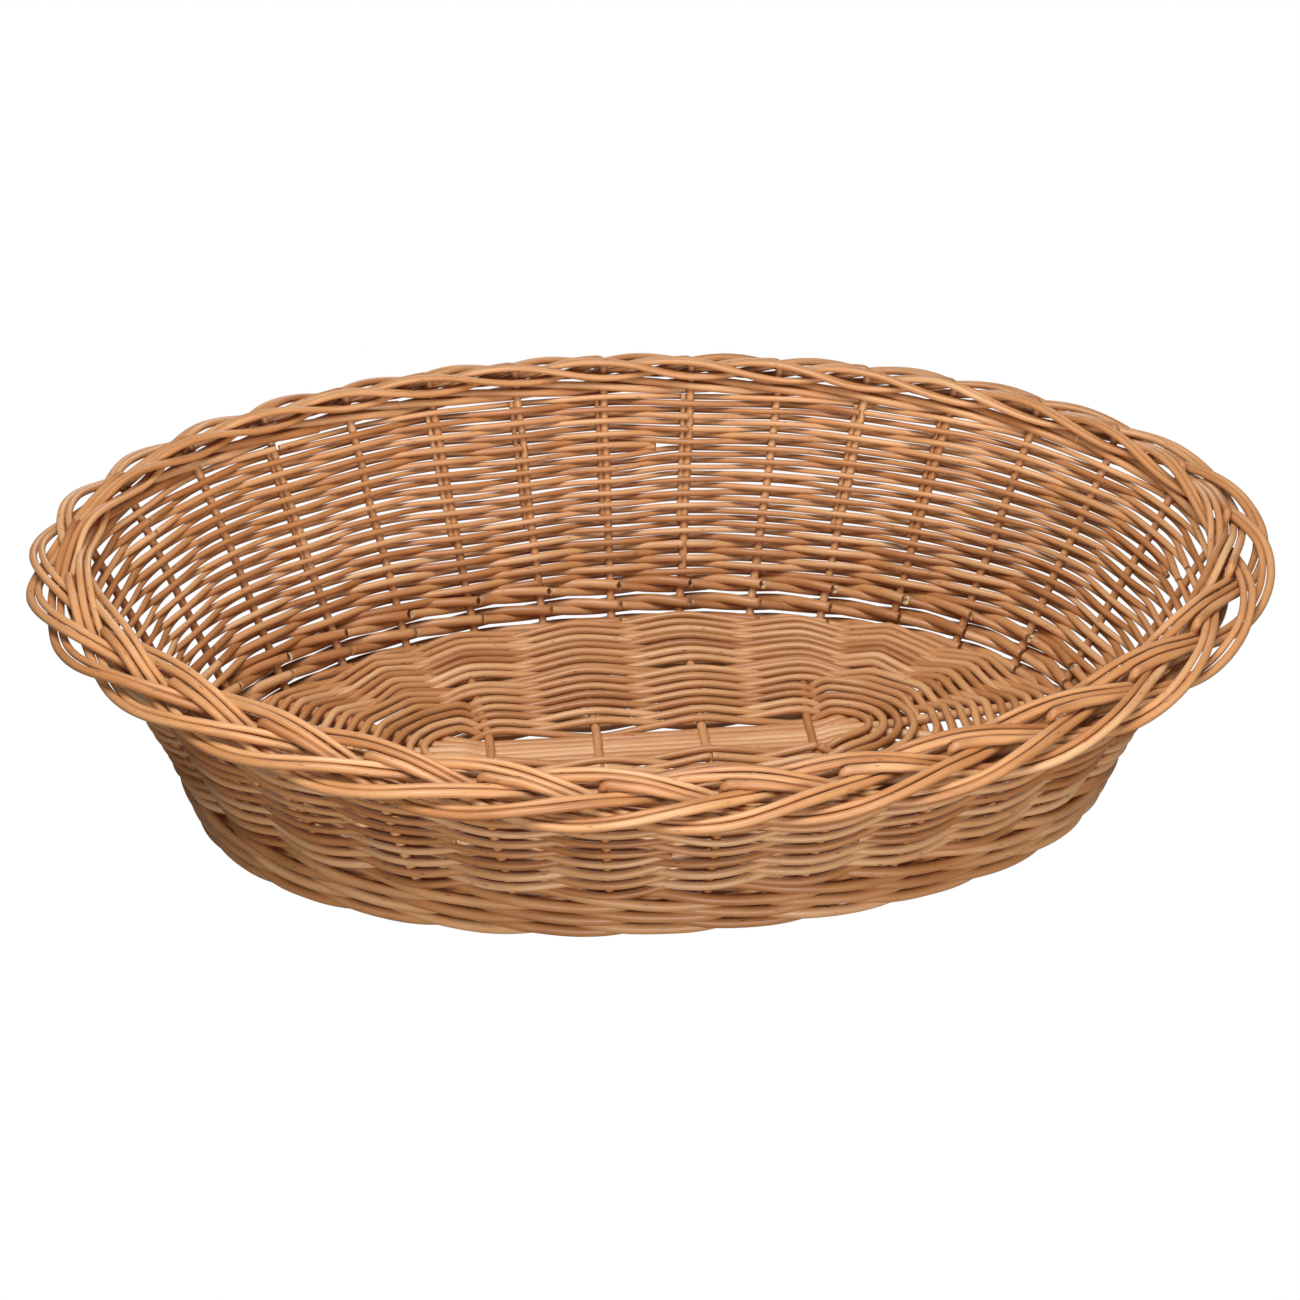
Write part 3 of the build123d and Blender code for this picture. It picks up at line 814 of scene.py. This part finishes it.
def corner_knot(stick, bar, bulge):
    """Where a rod rounds the corner of the bundle."""
    x = np.sign(stick[0]) * (SLATH_HALF_LENGTH - 2)
    part = (x - bar[0]) / (stick[0] - bar[0])
    knot = bar + (stick - bar) * part
    knot[1] += np.sign(knot[1]) * bulge
    if bulge == CORNER_BULGE:
        knot[2] = stick[2]
    return knot


def with_corners(knots, bulge):
    cross = len(CROSS_STICKS)
    fan = len(FAN_ANGLES)
    full = []
    for step, knot in enumerate(knots):
        place = step % (cross + fan)
        if place == cross:
            full.append(corner_knot(knot, knots[step - 1], bulge))
        full.append(knot)
        if place == cross + fan - 1:
            full.append(corner_knot(knot, knots[(step + 1) % len(knots)], bulge))
    return full


def floor_round(row):
    """One round of the floor, from the bundle (row 0) out to the edge."""
    ring = row / (FLOOR_ROUNDS - 1)
    reach = (STICK_DIAMETER + WEAVER_DIAMETER) / 2 + 0.9
    sides = floor_sides(row)
    knots = []
    for (inner, outer), side in zip(STICK_ENDS, sides):
        level = floor_height(ring) + side * reach
        knots.append(np.array([*(inner + (outer - inner) * ring), level]))
    bulge = CORNER_BULGE * min(1.0, 2 - row / BUNDLE_ROUNDS)
    if bulge > 0:
        knots = with_corners(knots, bulge)
    first = (row * 3) % len(CROSS_STICKS)
    knots = knots[first:] + knots[:first]
    level = np.array([1, 1, 0])
    start = knots[0] + unit((knots[1] - knots[0]) * level)
    end = knots[0] - unit((knots[0] - knots[-1]) * level)
    knots = np.array([start, *knots[1:], end])
    round_arcs = smooth_line(knots, 8.0)
    sharp_bends = smooth_line(knots, 2.8)
    end_share = np.clip((np.abs(sharp_bends[:, :1]) - SHARP_BENDS_FROM) / SHARP_BENDS_OVER, 0, 1)
    return round_arcs * (1 - end_share) + sharp_bends * end_share


def floor():
    """The woven rounds, the long sticks and the short sticks."""
    for band in range(FLOOR_ROUNDS // ROUNDS_PER_BAND):
        piece = Piece()
        for k in range(ROUNDS_PER_BAND):
            thick = random.uniform(*FLOOR_ROD_THICKNESS)
            piece.rod(floor_round(band * ROUNDS_PER_BAND + k), thick, thick - 0.5)
        name = f"base_weave_{band + 1}"
        piece.build(name, [name], "floor_weave", MATERIALS)
    half = LONG_STICK_COUNT // 2
    low = floor_height(0.0) - STICK_DIAMETER + 1.6
    piece = Piece()
    for k in range(LONG_STICK_COUNT):
        y = (half - 0.5 - k) * LONG_STICK_PITCH
        inner, outer = STICK_ENDS[len(CROSS_STICKS) + LONG_STICK_COUNT - 1 - k]
        line = [(CROSS_STICKS[-1] + STICK_DIAMETER, y, low), (SLATH_HALF_LENGTH, y, floor_height(0))]
        line += [(*(inner + (outer - inner) * f), floor_height(f)) for f in (0.05, 0.35, 0.7, 1.0)]
        mirrored = [(-x, y, z) for x, y, z in line]
        piece.rod(smooth_line([*reversed(mirrored), *line], 4.0), *LONG_STICK_THICKNESS)
    piece.build("base_long_sticks", ["base_long_sticks"], "floor_sticks", MATERIALS)
    count = len(CROSS_STICKS)
    piece = Piece()
    for k in range(count):
        front = STICK_ENDS[k]
        back = STICK_ENDS[len(STICK_ENDS) // 2 + count - 1 - k]
        line = []
        for inner, outer in (front, back):
            line.append([(*(inner + (outer - inner) * f), floor_height(f))
                         for f in (1.0, 0.7, 0.35, 0)])
        piece.rod(smooth_line([*line[0], *reversed(line[1])], 4.0), *CROSS_STICK_THICKNESS)
    piece.build("base_cross_sticks", ["base_cross_sticks"], "floor_sticks", MATERIALS)


stakes()
bye_stakes()
for wale_round in range(len(FOOT_WALE_HEIGHTS)):
    foot_wale(wale_round)
top_wale()
wall_rows()
floor()


# --- camera ---

def camera():
    """In front, a little to the left and looking down, as in the photograph."""
    lift = math.radians(26.47)
    turn = math.radians(-4.83)
    roll = math.radians(-1.12)
    distance = 1.903
    target = Vector((-0.0056, -0.0050, 0.090))
    back = Vector((math.sin(turn) * math.cos(lift), -math.cos(turn) * math.cos(lift), math.sin(lift)))
    right = Vector((math.cos(turn), math.sin(turn), 0))
    up = back.cross(right)
    rolled_right = right * math.cos(roll) + up * math.sin(roll)
    rolled_up = up * math.cos(roll) - right * math.sin(roll)
    data = bpy.data.cameras.new("camera")
    data.sensor_width = 36.0
    data.lens = 92.742
    data.shift_x = 0.00046
    data.shift_y = -0.01508
    data.clip_start = 0.1
    data.clip_end = 20
    view = bpy.data.objects.new("camera", data)
    view.matrix_world = Matrix((
        (rolled_right.x, rolled_up.x, back.x, (target + back * distance).x),
        (rolled_right.y, rolled_up.y, back.y, (target + back * distance).y),
        (rolled_right.z, rolled_up.z, back.z, (target + back * distance).z),
        (0, 0, 0, 1)))
    bpy.context.scene.collection.objects.link(view)
    bpy.context.scene.camera = view


def light(name, place, aim, size, power, colour=(1, 1, 1)):
    data = bpy.data.lights.new(name, "AREA")
    data.shape = "RECTANGLE"
    data.size, data.size_y = size
    data.energy = power
    data.color = colour
    lamp = bpy.data.objects.new(name, data)
    lamp.location = place
    lamp.rotation_mode = "QUATERNION"
    lamp.rotation_quaternion = (Vector(aim) - Vector(place)).to_track_quat("-Z", "Y")
    bpy.context.scene.collection.objects.link(lamp)
    return lamp


def world():
    """White all round in the picture, and a softer fill for the light it gives."""
    sky = bpy.data.worlds.new("studio")
    bpy.context.scene.world = sky
    sky.use_nodes = True
    tree = sky.node_tree
    tree.nodes.clear()
    seen = tree.nodes.new("ShaderNodeBackground")
    seen.inputs["Color"].default_value = (1, 1, 1, 1)
    seen.inputs["Strength"].default_value = 1.0
    fill = tree.nodes.new("ShaderNodeBackground")
    fill.inputs["Color"].default_value = (1, 1, 1, 1)
    fill.inputs["Strength"].default_value = 0.15
    path = tree.nodes.new("ShaderNodeLightPath")
    mix = tree.nodes.new("ShaderNodeMixShader")
    out = tree.nodes.new("ShaderNodeOutputWorld")
    tree.links.new(path.outputs["Is Camera Ray"], mix.inputs[0])
    tree.links.new(fill.outputs[0], mix.inputs[1])
    tree.links.new(seen.outputs[0], mix.inputs[2])
    tree.links.new(mix.outputs[0], out.inputs[0])


camera()
light("top_softbox", (-0.25, -0.7, 1.65), (0, 0, 0.05), (1.0, 0.8), 31.5)
light("front_fill", (0.3, -2.0, 0.25), (0, 0, 0.08), (1.2, 0.6), 26)
light("rear_fill", (0.2, 2.2, 0.9), (0, 0, 0.08), (1.2, 0.8), 9)
world()
bpy.context.scene.view_settings.view_transform = "Standard"
bpy.context.scene.view_settings.look = "None"
